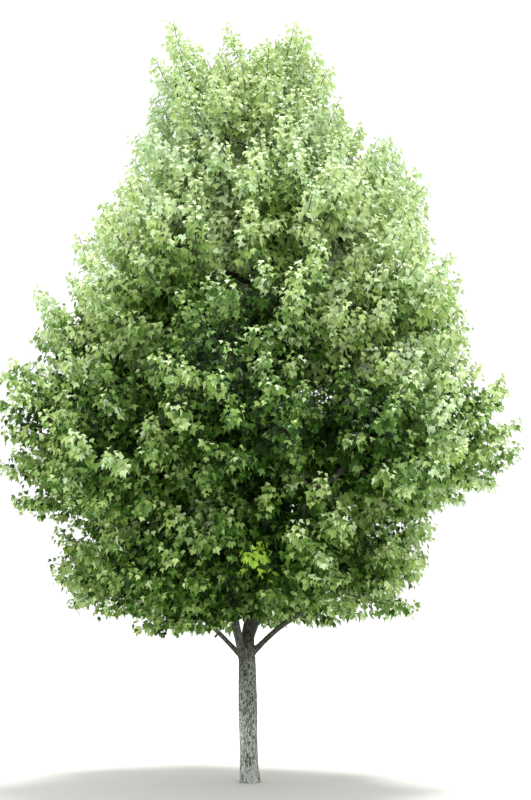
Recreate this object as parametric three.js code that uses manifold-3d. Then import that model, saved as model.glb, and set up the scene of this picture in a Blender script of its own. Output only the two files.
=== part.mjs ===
// A young, open-grown maple tree in full summer leaf: one trunk that runs up through the crown as its
// leader, the boughs that show below the leaves, and the crown as separate uneven masses of foliage.
// Millimetres, +Z up. The origin is in the middle of the flat cut at ground level. +X is the tree's right
// and -Y its front. Azimuths are in degrees, from +X round to +Y, the back.
import * as THREE from "three";
import { mergeVertices } from "three/addons/utils/BufferGeometryUtils.js";
import Module from "manifold-3d";

const wasm = await Module();
wasm.setup();

// ---------------------------------------------------------------- driving dimensions

const TOUCHING_GAP = 0.3; // left between two pieces that touch on the living tree
const GROWTH_SEED = 11;

// The trunk from the ground to the tip of its leader. It leans a little to the left up to the fork at
// about 1.3 m. Its leader stands upright out of the fork and swings back to the right above it.
const TRUNK_STATIONS = [
  { height: 0, right: 0, back: 0, radius: 112 },
  { height: 160, right: -3, back: 0, radius: 101 },
  { height: 700, right: -14, back: 4, radius: 97 },
  { height: 1220, right: -24, back: 8, radius: 93 },
  { height: 1560, right: -14, back: 40, radius: 64 },
  { height: 2000, right: 78, back: 56, radius: 58 },
  { height: 2600, right: 132, back: 60, radius: 54 },
  { height: 4200, right: 70, back: 20, radius: 43 },
  { height: 6000, right: 110, back: -20, radius: 27 },
  { height: 7700, right: 150, back: 10, radius: 11 },
];
const TRUNK_SIDES = 16;
const RINGS_PER_STATION = 2;
const ROOT_SWELLINGS = 5; // ridges where the roots leave the trunk
const ROOT_SWELL = 0.09; // their height, as a share of the trunk's radius
const ROOT_SWELL_HEIGHT = 260;
const ROOT_SWELL_TURN = 0.6; // turns the ridges round the trunk, in radians

// Boughs that show below the crown. Each leaves the trunk at one slope and ends at another, in degrees
// above level, and is cut off where it enters the leaves.
const BOUGHS = [
  { name: "bough_left_front", azimuth: 230, start: 1160, slopes: [62, 88], radii: [50, 37], length: 1150 },
  { name: "bough_right", azimuth: 352, start: 1235, slopes: [53, 20], radii: [35, 24], length: 1080 },
  { name: "bough_left", azimuth: 176, start: 1200, slopes: [51, 36], radii: [29, 20], length: 900 },
  { name: "bough_back_right", azimuth: 62, start: 1420, slopes: [44, 58], radii: [36, 27], length: 1100 },
  { name: "bough_back_left", azimuth: 122, start: 1330, slopes: [50, 44], radii: [33, 24], length: 1000 },
  { name: "bough_front_right", azimuth: 305, start: 1640, slopes: [56, 46], radii: [28, 21], length: 950 },
];
const BOUGH_SIDES = 12;
const BOUGH_RINGS = 8;

// How far the crown reaches from the trunk's foot line, at these heights, to the left and to the right.
const CROWN_STATIONS = [
  { height: 1400, left: 1300, right: 1000 },
  { height: 2000, left: 2060, right: 1740 },
  { height: 2700, left: 2220, right: 2320 },
  { height: 3400, left: 2520, right: 2680 },
  { height: 4000, left: 2760, right: 2800 },
  { height: 4900, left: 2480, right: 2560 },
  { height: 5700, left: 2080, right: 2200 },
  { height: 6500, left: 1620, right: 2040 },
  { height: 7300, left: 1340, right: 1240 },
  { height: 8000, left: 960, right: 860 },
];

// Rings of foliage masses, from the bottom up. Half sizes are a mass's own, out from the trunk, round it and
// up. The first mass of a ring stands at the azimuth turn and is raised by stagger, the next is lowered by
// it, and so on round. Tilt lifts a mass's outer end, in degrees.
const MASS_RINGS = [
  { name: "skirt", count: 7, height: 2420, halfSizes: [980, 780, 800], turn: 180, stagger: 90, tilt: -8 },
  { name: "low", count: 8, height: 3640, halfSizes: [1150, 850, 950], turn: 180, stagger: 140, tilt: 5 },
  { name: "middle", count: 7, height: 4880, halfSizes: [1130, 860, 960], turn: 180, stagger: -140, tilt: 14 },
  { name: "upper", count: 6, height: 6020, halfSizes: [960, 800, 900], turn: 172, stagger: -140, tilt: 22 },
  { name: "high", count: 5, height: 7000, halfSizes: [760, 640, 800], turn: 184, stagger: -120, tilt: 32 },
];
const MASS_UNEVEN = { azimuth: 7, height: 70, size: 0.08, reach: 80 }; // the most that one mass differs
// The lobes that the crown ends in, standing round the leader's tip.
const TOP_LOBES = [
  { name: "foliage_top_left", right: -850, back: -110, tip: 8360, width: 205, rise: 680 },
  { name: "foliage_top_middle_left", right: -580, back: 260, tip: 8250, width: 270, rise: 640 },
  { name: "foliage_top_middle", right: -210, back: -210, tip: 8310, width: 270, rise: 650 },
  { name: "foliage_top_middle_right", right: 150, back: 270, tip: 8340, width: 280, rise: 660 },
  { name: "foliage_top_right", right: 490, back: -60, tip: 8420, width: 235, rise: 760 },
];
const MASS_DETAIL = 2;
const MASS_TYPICAL_RADIUS = 600; // a mass grows by the gap when it is scaled by the gap over this
const LUMPS = [
  { waves: 2.3, height: 0.1 },
  { waves: 3.4, height: 0.08 },
  { waves: 4.9, height: 0.06 },
];

// ---------------------------------------------------------------- materials

const bark = new THREE.MeshStandardMaterial({ color: 0x8f938a, roughness: 0.9, metalness: 0 });
const boughBark = new THREE.MeshStandardMaterial({ color: 0x787c70, roughness: 0.88, metalness: 0 });
const leafGreens = [0x3f5f2a, 0x4c6f33, 0x587d3c].map(
  (color) => new THREE.MeshStandardMaterial({ color, roughness: 0.75, metalness: 0 }),
);

// ---------------------------------------------------------------- small helpers

/** Repeatable random numbers from 0 to 1. */
function seededRandom(seed) {
  let state = seed;
  return () => {
    state = (state + 0x6d2b79f5) | 0;
    let mixed = Math.imul(state ^ (state >>> 15), 1 | state);
    mixed = (mixed + Math.imul(mixed ^ (mixed >>> 7), 61 | mixed)) ^ mixed;
    return ((mixed ^ (mixed >>> 14)) >>> 0) / 2 ** 32;
  };
}

const random = seededRandom(GROWTH_SEED);
const within = (most) => (2 * random() - 1) * most;
const outward = (azimuth) => {
  const angle = THREE.MathUtils.degToRad(azimuth);
  return new THREE.Vector3(Math.cos(angle), Math.sin(angle), 0);
};

/** Keeps only a geometry's positions and shares its vertices, so that it is a closed mesh. */
function shared(geometry) {
  geometry.deleteAttribute("normal");
  geometry.deleteAttribute("uv");
  return mergeVertices(geometry);
}

function solidOf(geometry) {
  const vertProperties = new Float32Array(geometry.attributes.position.array);
  const triVerts = new Uint32Array(geometry.index.array);
  return new wasm.Manifold(new wasm.Mesh({ numProp: 3, vertProperties, triVerts }));
}

function geometryOf(solid) {
  const mesh = solid.getMesh();
  const geometry = new THREE.BufferGeometry();
  geometry.setAttribute("position", new THREE.BufferAttribute(mesh.vertProperties, 3));
  geometry.setIndex(new THREE.BufferAttribute(mesh.triVerts, 1));
  geometry.computeVertexNormals();
  return geometry;
}

function namedMesh(name, solid, material) {
  const mesh = new THREE.Mesh(geometryOf(solid), material);
  mesh.name = name;
  return mesh;
}

// ---------------------------------------------------------------- limbs

/**
 * A closed tapering limb: a unit cylinder bent along a curve. crossAxis is a direction that the curve
 * stays square to, level keeps every ring level, and swell(height, angle) makes the section uneven.
 */
function limbSolid({ curve, radiusAt, sides, rings, crossAxis, level, swell = () => 1, grow = 0 }) {
  const geometry = shared(new THREE.CylinderGeometry(1, 1, 1, sides, rings));
  const places = geometry.attributes.position;
  const along = new THREE.Vector3();
  const across = new THREE.Vector3();
  const third = new THREE.Vector3();
  for (let i = 0; i < places.count; i += 1) {
    const share = THREE.MathUtils.clamp(places.getY(i) + 0.5, 0, 1);
    const centre = curve.getPoint(share);
    along.copy(level ? new THREE.Vector3(0, 0, 1) : curve.getTangent(share));
    across.copy(crossAxis).addScaledVector(along, -crossAxis.dot(along)).normalize();
    third.crossVectors(across, along);
    const angle = Math.atan2(places.getZ(i), places.getX(i));
    const radius = radiusAt(share) * swell(centre.z, angle) + grow;
    if (share === 0 || share === 1) centre.addScaledVector(along, share === 0 ? -grow : grow);
    centre.addScaledVector(across, places.getX(i) * radius);
    centre.addScaledVector(third, places.getZ(i) * radius);
    places.setXYZ(i, centre.x, centre.y, centre.z);
  }
  return solidOf(geometry);
}

const CURVE_TOLERANCE = 1e-7; // as a share of the trunk's length
const trunkCurve = new THREE.CatmullRomCurve3(
  TRUNK_STATIONS.map(({ right, back, height }) => new THREE.Vector3(right, back, height)),
);
const trunkRadii = new THREE.CatmullRomCurve3(
  TRUNK_STATIONS.map(({ radius, height }) => new THREE.Vector3(radius, 0, height)),
);

/** The ridges of the root flare, which fade out up the trunk. */
function rootSwell(height, angle) {
  const fade = Math.max(0, 1 - height / ROOT_SWELL_HEIGHT) ** 2;
  return 1 + ROOT_SWELL * fade * Math.cos(ROOT_SWELLINGS * angle + ROOT_SWELL_TURN);
}

function trunkSolid(grow = 0) {
  return limbSolid({
    curve: trunkCurve,
    radiusAt: (share) => trunkRadii.getPoint(share).x,
    sides: TRUNK_SIDES,
    rings: RINGS_PER_STATION * (TRUNK_STATIONS.length - 1),
    crossAxis: new THREE.Vector3(1, 0, 0),
    level: true,
    swell: rootSwell,
    grow,
  });
}

/** The point on the trunk's middle line at a height, found by halving the line's range. */
function trunkCentre(height) {
  let low = 0;
  let high = 1;
  while (high - low > CURVE_TOLERANCE) {
    const middle = (low + high) / 2;
    if (trunkCurve.getPoint(middle).z < height) low = middle;
    else high = middle;
  }
  return trunkCurve.getPoint(low);
}

/** A bough's middle line, whose slope turns evenly from its first value to its last. */
function boughCurve({ azimuth, start, slopes, length }) {
  const out = outward(azimuth);
  const points = [trunkCentre(start)];
  for (let step = 0; step < BOUGH_RINGS; step += 1) {
    const slope = THREE.MathUtils.degToRad(
      THREE.MathUtils.lerp(slopes[0], slopes[1], (step + 0.5) / BOUGH_RINGS),
    );
    const next = points[step].clone().addScaledVector(out, (Math.cos(slope) * length) / BOUGH_RINGS);
    next.z += (Math.sin(slope) * length) / BOUGH_RINGS;
    points.push(next);
  }
  return new THREE.CatmullRomCurve3(points);
}

function boughSolid(bough, grow = 0) {
  return limbSolid({
    curve: boughCurve(bough),
    radiusAt: (share) => THREE.MathUtils.lerp(bough.radii[0], bough.radii[1], share),
    sides: BOUGH_SIDES,
    rings: BOUGH_RINGS,
    crossAxis: outward(bough.azimuth + 90),
    level: false,
    grow,
  });
}

// ---------------------------------------------------------------- masses of foliage

/** How far the crown reaches at a height, towards an azimuth. */
function crownReach(azimuth, height) {
  const above = CROWN_STATIONS.findIndex((station) => station.height >= height);
  const upper = CROWN_STATIONS[above < 0 ? CROWN_STATIONS.length - 1 : Math.max(above, 1)];
  const lower = CROWN_STATIONS[CROWN_STATIONS.indexOf(upper) - 1];
  const share = THREE.MathUtils.clamp((height - lower.height) / (upper.height - lower.height), 0, 1);
  const rightness = (1 + outward(azimuth).x) / 2;
  const left = THREE.MathUtils.lerp(lower.left, upper.left, share);
  const right = THREE.MathUtils.lerp(lower.right, upper.right, share);
  return THREE.MathUtils.lerp(left, right, rightness);
}

const PLACES = ["right", "back_right", "back", "back_left", "left", "front_left", "front", "front_right"];

/** The name of the place round the crown that an azimuth is nearest to. */
function placeName(azimuth) {
  const turn = THREE.MathUtils.euclideanModulo(azimuth, 360) / 360;
  return PLACES[Math.round(turn * PLACES.length) % PLACES.length];
}

/** Smooth lumps over a mass's surface, different for each mass. */
function lumpiness() {
  const waves = LUMPS.map((lump) => ({
    ...lump,
    axis: new THREE.Vector3(within(1), within(1), within(1)).normalize(),
    phase: within(Math.PI),
  }));
  return (direction) =>
    waves.reduce(
      (sum, { waves: count, height, axis, phase }) =>
        sum + height * Math.cos(count * Math.PI * direction.dot(axis) + phase),
      1,
    );
}

const unitSurface = shared(new THREE.IcosahedronGeometry(1, MASS_DETAIL));
/** The directions from a mass's centre to the corners of its surface. */
const surfaceDirections = Array.from({ length: unitSurface.attributes.position.count }, (_, i) =>
  new THREE.Vector3().fromBufferAttribute(unitSurface.attributes.position, i).normalize(),
);

/**
 * A mass whose furthest corner in a given direction lies at a given distance from the origin. It holds its
 * centre, its own axes with their half sizes, and its lumps.
 */
function makeMass(name, centre, axes, halfSizes, tipDirection, tipDistance) {
  const lumps = lumpiness();
  const plainReach = (direction) =>
    1 / Math.hypot(...axes.map((axis, i) => direction.dot(axis) / halfSizes[i]));
  const freeReach = (direction) => plainReach(direction) * lumps(direction);
  const furthest = Math.max(...surfaceDirections.map((one) => freeReach(one) * one.dot(tipDirection)));
  centre.addScaledVector(tipDirection, tipDistance - furthest - centre.dot(tipDirection));
  return { name, centre, plainReach, freeReach };
}

function ringMasses({ name, count, height, halfSizes, turn, stagger, tilt }) {
  const masses = [];
  for (let i = 0; i < count; i += 1) {
    const evenAzimuth = turn + (i * 360) / count;
    const azimuth = evenAzimuth + within(MASS_UNEVEN.azimuth);
    const middleHeight = height + (i % 2 ? -stagger : stagger) + within(MASS_UNEVEN.height);
    const size = 1 + within(MASS_UNEVEN.size);
    const lift = THREE.MathUtils.degToRad(tilt);
    const out = outward(azimuth);
    const long = out.clone().multiplyScalar(Math.cos(lift)).setZ(Math.sin(lift));
    const side = outward(azimuth + 90);
    const up = new THREE.Vector3().crossVectors(long, side);
    const tipHeight = middleHeight + halfSizes[0] * Math.sin(lift);
    const tipReach = crownReach(azimuth, tipHeight) + within(MASS_UNEVEN.reach);
    const ownHalfSizes = halfSizes.map((half) => half * size);
    const place = `foliage_${name}_${placeName(evenAzimuth)}`;
    const centre = new THREE.Vector3(0, 0, middleHeight);
    masses.push(makeMass(place, centre, [long, side, up], ownHalfSizes, out, tipReach));
  }
  return masses;
}

function topLobe({ name, right, back, tip, width, rise }) {
  const up = new THREE.Vector3(0, 0, 1);
  const axes = [new THREE.Vector3(1, 0, 0), new THREE.Vector3(0, 1, 0), up];
  return makeMass(name, new THREE.Vector3(right, back, 0), axes, [width, width, rise], up, tip);
}

/** The flat walls that keep a mass clear of its neighbours, each with its direction and distance. */
function wallsOf(mass, masses) {
  return masses
    .filter((other) => other !== mass)
    .map((other) => {
      const direction = other.centre.clone().sub(mass.centre);
      const apart = direction.length();
      direction.divideScalar(apart);
      const own = mass.plainReach(direction);
      const theirs = other.plainReach(direction);
      return { direction, distance: (apart * own) / (own + theirs) - TOUCHING_GAP / 2 };
    });
}

/** An uneven closed solid round the mass's centre, stopped at its walls. */
function massSolid(mass, masses) {
  const walls = wallsOf(mass, masses);
  const geometry = unitSurface.clone();
  surfaceDirections.forEach((direction, i) => {
    let reach = mass.freeReach(direction);
    for (const wall of walls) {
      const facing = direction.dot(wall.direction);
      if (facing > 0) reach = Math.min(reach, wall.distance / facing);
    }
    const corner = mass.centre.clone().addScaledVector(direction, reach);
    geometry.attributes.position.setXYZ(i, corner.x, corner.y, corner.z);
  });
  return solidOf(geometry);
}

/** The part of a cut solid that matters most, by a score of each loose part. */
function bestPart(solid, score) {
  return solid.decompose().reduce((best, part) => (score(part) > score(best) ? part : best));
}

// ---------------------------------------------------------------- assembly

const group = new THREE.Group();

const trunk = trunkSolid();
group.add(namedMesh("trunk", trunk, bark));

const masses = [...MASS_RINGS.flatMap(ringMasses), ...TOP_LOBES.map(topLobe)];
const trunkCutter = trunkSolid(TOUCHING_GAP);
const massSolids = masses.map((mass) => {
  const cut = massSolid(mass, masses).subtract(trunkCutter);
  return bestPart(cut, (part) => part.volume());
});
massSolids.forEach((solid, i) => {
  group.add(namedMesh(masses[i].name, solid, leafGreens[i % leafGreens.length]));
});

// Each bough is cut off at the trunk, at the boughs before it and at the masses, which are first made
// larger about their middles by the gap.
const grownMasses = massSolids.map((solid, i) => {
  const { x, y, z } = masses[i].centre;
  const scale = 1 + TOUCHING_GAP / MASS_TYPICAL_RADIUS;
  return solid.translate([-x, -y, -z]).scale([scale, scale, scale]).translate([x, y, z]);
});
const cutters = [trunkCutter, ...grownMasses];
for (const bough of BOUGHS) {
  const cut = cutters.reduce((solid, cutter) => solid.subtract(cutter), boughSolid(bough));
  const foot = trunkCentre(bough.start);
  const nearFoot = (part) => {
    const { min, max } = part.boundingBox();
    const middle = new THREE.Vector3(...min).add(new THREE.Vector3(...max)).divideScalar(2);
    return part.volume() / (1 + middle.distanceTo(foot));
  };
  group.add(namedMesh(bough.name, bestPart(cut, nearFoot), boughBark));
  cutters.push(boughSolid(bough, TOUCHING_GAP));
}

export default group;
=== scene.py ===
import math

import bmesh
import bpy
import numpy as np
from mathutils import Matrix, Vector
from mathutils.bvhtree import BVHTree


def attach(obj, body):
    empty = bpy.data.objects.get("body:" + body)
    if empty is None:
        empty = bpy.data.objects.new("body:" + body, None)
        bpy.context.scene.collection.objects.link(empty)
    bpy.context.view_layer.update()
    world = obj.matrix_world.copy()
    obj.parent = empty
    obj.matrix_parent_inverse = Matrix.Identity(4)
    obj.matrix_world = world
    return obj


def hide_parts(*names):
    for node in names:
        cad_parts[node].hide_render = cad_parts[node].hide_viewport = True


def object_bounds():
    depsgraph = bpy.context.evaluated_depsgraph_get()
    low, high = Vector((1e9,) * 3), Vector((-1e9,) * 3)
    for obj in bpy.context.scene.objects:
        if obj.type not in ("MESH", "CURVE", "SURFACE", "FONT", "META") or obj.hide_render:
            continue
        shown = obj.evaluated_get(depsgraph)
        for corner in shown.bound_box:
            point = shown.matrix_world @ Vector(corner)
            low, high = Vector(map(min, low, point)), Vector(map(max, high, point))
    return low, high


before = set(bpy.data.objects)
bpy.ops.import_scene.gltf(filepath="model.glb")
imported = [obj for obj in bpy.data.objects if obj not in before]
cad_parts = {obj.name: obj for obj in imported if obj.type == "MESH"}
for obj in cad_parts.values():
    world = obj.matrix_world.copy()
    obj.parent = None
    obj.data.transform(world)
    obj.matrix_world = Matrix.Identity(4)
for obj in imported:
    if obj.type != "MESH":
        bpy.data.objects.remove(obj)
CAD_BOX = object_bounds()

# A young maple tree in full leaf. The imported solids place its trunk, its boughs and its masses of foliage.
# The trunk and boughs are made again with the bark's relief, and limbs, twigs and leaves grow on from them
# by a seeded rule and fill every mass. Metres, +Z up, -Y towards the camera.

scene = bpy.context.scene

# ---- driving values

SEED = 294
UP = np.array([0.0, 0.0, 1.0])

# The photograph's view: a camera at eye height, tilted up at the crown. The lens is in millimetres.
CAMERA_PLACE = (0.17, -14.0, 1.6)
CAMERA_TILT = 9.86  # degrees above level
CAMERA_LENS = 58.5

# Pairs of lists give heights and the values there, for np.interp.

# Limbs: how steeply they leave the trunk, in degrees, and how they rise to the outer end of each ring.
LIMB_SLOPES = (28, 58)
TOP_LIMB_SLOPES = (50, 85)
SLOPE_PENALTY = 22  # a slope this many degrees out of range counts as twice the reach
TURN_PENALTY = 0.55
HEADING_KEPT = 0.45  # how far a limb first keeps to its parent's heading
WAVER = 0.045  # how far a limb strays from its smooth path
LIMB_END = 0.8  # how far a limb goes on from a mass's middle to its surface
RING_RISE = {"skirt": -0.15, "low": 0.15, "middle": 0.5, "upper": 0.9, "high": 1.4, "top": 4.0}
RINGS = list(RING_RISE)
LIMB_STEP = 0.13
TRUNK_LEVELS = [0.004, 0.04, 0.08, 0.14, 0.22, 0.4, 0.7, 1.0]  # where its line is read below the fork
FORK_LEVEL = 1.25
BOUGH_SPAN = (0.22, 0.93)  # the part of a bough that its line is read from
BOUGH_CUTS = 5

# Plumes: ascending leafy branchlets whose tips lie on the crown's outer surface.
PLUME_SPACING = 0.350
SPACING_BY_HEIGHT = ([6.6, 7.8], [1.0, 0.80])
DARTS_PER_SQUARE_METRE = 70
CLUMP_SIZE = 0.85  # width of the denser and thinner places in the crown
PLUME_LENGTH = (0.62, 0.98)
PLUME_WANDER = 0.17
PLUME_RISE = 0.03  # the tips end this far outside the masses' surface
RISE_BY_HEIGHT = ([1.5, 2.6, 4.2, 6.5, 8.2], [0.12, 0.72, 1.4, 2.2, 3.6])  # against the way out of 1
TALL_SHARE = 0.28  # this share of the tips stands out further
TALL_BY_HEIGHT = ([6.8, 7.8], [1.0, 1.8])
TALL_RISE = (0.07, 0.18)
RAGGED_BY_HEIGHT = ([4.0, 5.2, 7.3, 8.0], [1.0, 1.7, 1.7, 0.8])
LEADER_SINK = 0.17  # a mass's leading shoot ends this far inside its furthest corner
INNER_SPACING = 0.37  # shaded plumes inside the crown
INNER_DEPTH = (0.26, 1.6)
INNER_LEAF_SIZE = 1.5
INNER_LENGTH = 0.8
OPEN_UNDERSIDE = 0.55  # no plumes hang this near the trunk, so the fork shows

# Side shoots along a plume, and leaves in pairs along each of them.
SIDE_SHOOT_SPACING = 0.061
SIDE_SHOOT_SPAN = (0.10, 0.92)  # the part of a plume that bears them
SIDE_SHOOT_LENGTH = 0.25
SIDE_SHOOT_LENGTHS = (0.75, 1.2)
SIDE_SHOOT_TAPER = 0.72  # towards the plume's tip
SIDE_SHOOT_RADIUS = 0.0021
LEAF_PAIR_SPACING = 0.036
INNER_PAIR_SPACING = 0.0468
LEAF_LENGTH = 0.094
LEAF_SIZES = (0.84, 1.12)
YOUNG_ALONG_SHOOT = ([0, 0.55, 1], [0.0, 0.2, 1.0])
YOUNG_SMALLER = 0.36
STALK_LENGTH = 0.060
STALK_SHARES = (0.6, 1.25)
STALK_WIDTH = 0.0022
GOLDEN_TURN = math.radians(137.5)
DROOP = (0.65, 1.75)  # how steeply a leaf hangs, against its way out of 1
DROOP_BY_HEIGHT = ([5.5, 7.6], [1.0, 0.6])
LEAF_WANDER = 0.15
LEAF_TILT = 0.42
LEAF_FOLD = (0.2, 0.8)
LEAF_CURL = (0.05, 0.55)
LEAF_TWIST = (-0.4, 0.4)

# The lowest that leaves hang, by azimuth in degrees: raised in front of the fork.
HEM = [
    (180, 1.66), (205, 1.60), (225, 1.45), (245, 1.54), (257, 1.66), (282, 1.67),
    (300, 1.62), (340, 1.64), (420, 1.55), (480, 1.60), (540, 1.66),
]
# Spots on the crown, each with its azimuth in degrees, its height and its radius.
# Open, dark hollows, and the share of plumes that their middles lack:
HOLLOW_LACK = 0.9
HOLLOWS = [
    (288, 4.36, 0.42), (304, 2.52, 0.40), (242, 3.72, 0.40), (262, 4.95, 0.30),
    (120, 4.6, 0.45), (35, 3.4, 0.42), (175, 5.2, 0.35), (75, 5.6, 0.4),
]
# Where the painted highlight on the plumes' tips is strongest:
HIGHLIGHT_PLACES = [
    (270, 5.05, 0.42), (256, 3.72, 0.36), (276, 4.15, 0.34), (290, 2.75, 0.55),
    (318, 3.9, 0.42), (232, 3.3, 0.36), (90, 4.3, 0.5), (150, 3.4, 0.45),
    (60, 5.2, 0.45), (12, 4.4, 0.45), (195, 4.6, 0.4),
]
# In the shade of the plumes above them:
SHADED_PLACES = [
    (262, 4.75, 0.62), (283, 3.3, 0.32), (290, 4.0, 0.45),
    (110, 4.6, 0.6), (15, 4.9, 0.5), (180, 4.2, 0.45),
]
# One spray of lime-green leaves:
LIME_PLACE = (268, 2.26, 0.15)

# What makes a leaf paler, on a scale from 0 to 1: mostly painted light and shade, with random spread.
TONE_BASE = 0.05
TONE_OUTSIDE_LIGHT = 0.17
# Painted sky light, more on plumes that face up:
TONE_SKY_LIGHT = 0.16
TONE_LIGHT_HIGH_UP = 0.58
TONE_SIDE_LIGHT = 0.33  # painted light at the crown's left and right, where it is thin and lit from behind
# More painted light on the crown's right side:
TONE_RIGHT_SIDE_LIGHT = 0.12
TONE_TIP_LIGHT = 0.06  # painted light, towards a plume's tip
TONE_CLUMP = 0.06
TONE_SHADED = 0.27
TONE_HIGHLIGHT_SPOT = 0.36
CREST_HIGHLIGHT = 0.34  # painted highlight on a plume's tip, at most, from plume to plume
# Painted light along a shoot, paler towards its tip:
TONE_SHOOT_TIP_LIGHT = ([0, 0.5, 1], [-0.04, 0.0, 0.07])
TONE_SPREAD, TONE_SPREAD_FALL = 0.20, 0.08  # from leaf to leaf, and how much less high up
HUE_PATCH = 0.6  # width of the yellower and the bluer places
HUE_SPREAD = 0.8

# Branching: radii by the pipe rule, where a limb carries as many twigs as it is thick.
TWIG_STEP = 0.12
TWIG_RADIUS = 0.0023
PIPE_POWER = 2.4
PLUME_LOAD = 1.5
THICK_TWIG = 0.006  # twigs above this radius have the limbs' bark
SIDES_BY_RADIUS = [(THICK_TWIG, 3), (0.012, 5), (0.02, 7), (math.inf, 10)]

BARK_VOXEL = 0.0068
BARK_TOP = 2.45  # the fine bark reaches this high, and plain limbs go on above it
BARK_FLOOR = 0.0015  # the skin is cut flat here and set down on the ground
TRUNK_SIDES = 60
BOUGH_SIDES = 28
SKIN_STEP = 0.03
SKIN_SMOOTHING = 7
SKIN_BLEND = 0.012  # how softly the relief of one limb passes into the next one's

rng = np.random.default_rng(SEED)


# ---- vectors and noise

def unit(vectors):
    vectors = np.asarray(vectors, float)
    return vectors / np.maximum(np.linalg.norm(vectors, axis=-1, keepdims=True), 1e-9)


def lengths(vectors):
    return np.linalg.norm(vectors, axis=-1)


def smooth_step(values, low, high):
    share = np.clip((values - low) / (high - low), 0, 1)
    return share * share * (3 - 2 * share)


def lattice_value(cells, seed):
    """A repeatable random number from -1 to 1 for each whole-numbered cell."""
    x, y, z = np.moveaxis(cells.astype(np.int64), -1, 0)
    mixed = (x * 73856093) ^ (y * 19349663) ^ (z * 83492791) ^ (seed * 2654435761)
    mixed = (mixed ^ (mixed >> 13)) * 1274126177
    mixed = (mixed ^ (mixed >> 16)) & 0xFFFFFF
    return mixed / float(0x7FFFFF) - 1


def noise(places, seed):
    """Smooth noise from -1 to 1 with features one unit wide."""
    cells = np.floor(places)
    share = places - cells
    share = share * share * (3 - 2 * share)
    total = 0
    for corner in np.ndindex(2, 2, 2):
        weight = np.prod(np.where(corner, share, 1 - share), axis=-1)
        total = total + weight * lattice_value(cells + corner, seed)
    return total


def layered_noise(places, seed, layers):
    """Noise with finer layers, each half as wide and half as strong as the one before."""
    strengths = [0.5**layer for layer in range(layers)]
    total = sum(s * noise(places / s, seed + layer) for layer, s in enumerate(strengths))
    return total / sum(strengths)


def smooth_path(points, step):
    """Points every step or so along a smooth curve through the given ones."""
    points = np.asarray(points, float)
    padded = np.vstack([2 * points[0] - points[1], points, 2 * points[-1] - points[-2]])
    made = []
    for a, b, c, d in zip(padded, padded[1:], padded[2:], padded[3:]):
        count = max(1, round(np.linalg.norm(c - b) / step))
        t = (np.arange(count) / count)[:, None]
        squared, cubed = 2 * a - 5 * b + 4 * c - d, 3 * b - a - 3 * c + d
        made.append(0.5 * (2 * b + (c - a) * t + squared * t**2 + cubed * t**3))
    return np.vstack([*made, points[-1:]])


def on_line(spots, marks, line):
    """Places on a line at some spots, where marks are the spots of its points."""
    return np.stack([np.interp(spots, marks, line[:, axis]) for axis in range(3)], -1)


def along_share(line, shares):
    return on_line(shares, np.linspace(0, 1, len(line)), line)


def bent_line(a, b, c, d, count):
    """Points along a smooth bend from a to d, pulled towards b and c."""
    t = np.linspace(0, 1, count)[:, None]
    return a * (1 - t) ** 3 + 3 * b * t * (1 - t) ** 2 + 3 * c * t**2 * (1 - t) + d * t**3


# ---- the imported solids

def read(items, field, kind=float):
    """Three numbers for each of a mesh's vertices, triangles or normals."""
    values = np.empty(len(items) * 3, kind)
    items.foreach_get(field, values)
    return values.reshape(-1, 3)


def triangles_of(name):
    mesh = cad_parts[name].data
    mesh.calc_loop_triangles()
    return read(mesh.vertices, "co")[read(mesh.loop_triangles, "vertices", int)]


def tree_of(triangles):
    places = [tuple(place) for place in triangles.reshape(-1, 3)]
    faces = [(i, i + 1, i + 2) for i in range(0, len(places), 3)]
    return BVHTree.FromPolygons(places, faces)


def section(triangles, point, normal):
    """Middle and mean radius of a solid's cut by a plane."""
    height = (triangles - point) @ normal
    cuts = []
    for a, b in ((0, 1), (1, 2), (2, 0)):
        crossing = (height[:, a] > 0) != (height[:, b] > 0)
        share = height[crossing, a] / (height[crossing, a] - height[crossing, b])
        start, end = triangles[crossing, a], triangles[crossing, b]
        cuts.append(start + (end - start) * share[:, None])
    cuts = np.vstack(cuts)
    middle = (cuts.min(0) + cuts.max(0)) / 2
    return middle, lengths(cuts - middle).mean()


def read_bough(name):
    """The middle line and radii of a CAD bough."""
    triangles = triangles_of(name)
    corners = triangles.reshape(-1, 3)
    middle = corners.mean(0)
    axis = np.linalg.svd(corners - middle, full_matrices=False)[2][0]
    axis = axis if axis[2] > 0 else -axis
    reach = (corners - middle) @ axis
    line = []
    for share in np.linspace(*BOUGH_SPAN, BOUGH_CUTS):
        at = middle + axis * (reach.min() + share * (reach.max() - reach.min()))
        line.append(section(triangles, at, axis))
    return map(np.array, zip(*line))


def trunk_line():
    """The trunk's middle line and radii at levels from the ground to its tip."""
    triangles = triangles_of("trunk")
    top = triangles[..., 2].max()
    levels = np.concatenate([TRUNK_LEVELS, np.linspace(FORK_LEVEL, top - 0.01, 30)])
    places, radii = map(np.array, zip(*[section(triangles, level * UP, UP) for level in levels]))
    places[:, 2] = levels
    return places, radii


class Mass:
    """One mass of foliage."""

    def __init__(self, name):
        self.name = name
        self.ring = name.split("_")[1]
        self.triangles = triangles_of(name)
        self.tree = tree_of(self.triangles)
        self.low = self.triangles.min((0, 1))
        self.high = self.triangles.max((0, 1))
        self.heart = (self.low + self.high) / 2

    def holds(self, place):
        if np.any(place < self.low) or np.any(place > self.high):
            return False
        nearest, normal, _, _ = self.tree.find_nearest(Vector(place))
        return (Vector(place) - nearest).dot(normal) < 0


masses = [Mass(name) for name in sorted(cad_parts) if name.startswith("foliage_")]
bough_names = sorted(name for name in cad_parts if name.startswith("bough_"))
trunk_places, trunk_radii = trunk_line()
FORK = trunk_places[len(TRUNK_LEVELS)]


def trunk_at(height):
    return on_line(height, trunk_places[:, 2], trunk_places)


def trunk_radius_at(height):
    return np.interp(height, trunk_places[:, 2], trunk_radii)


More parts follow.
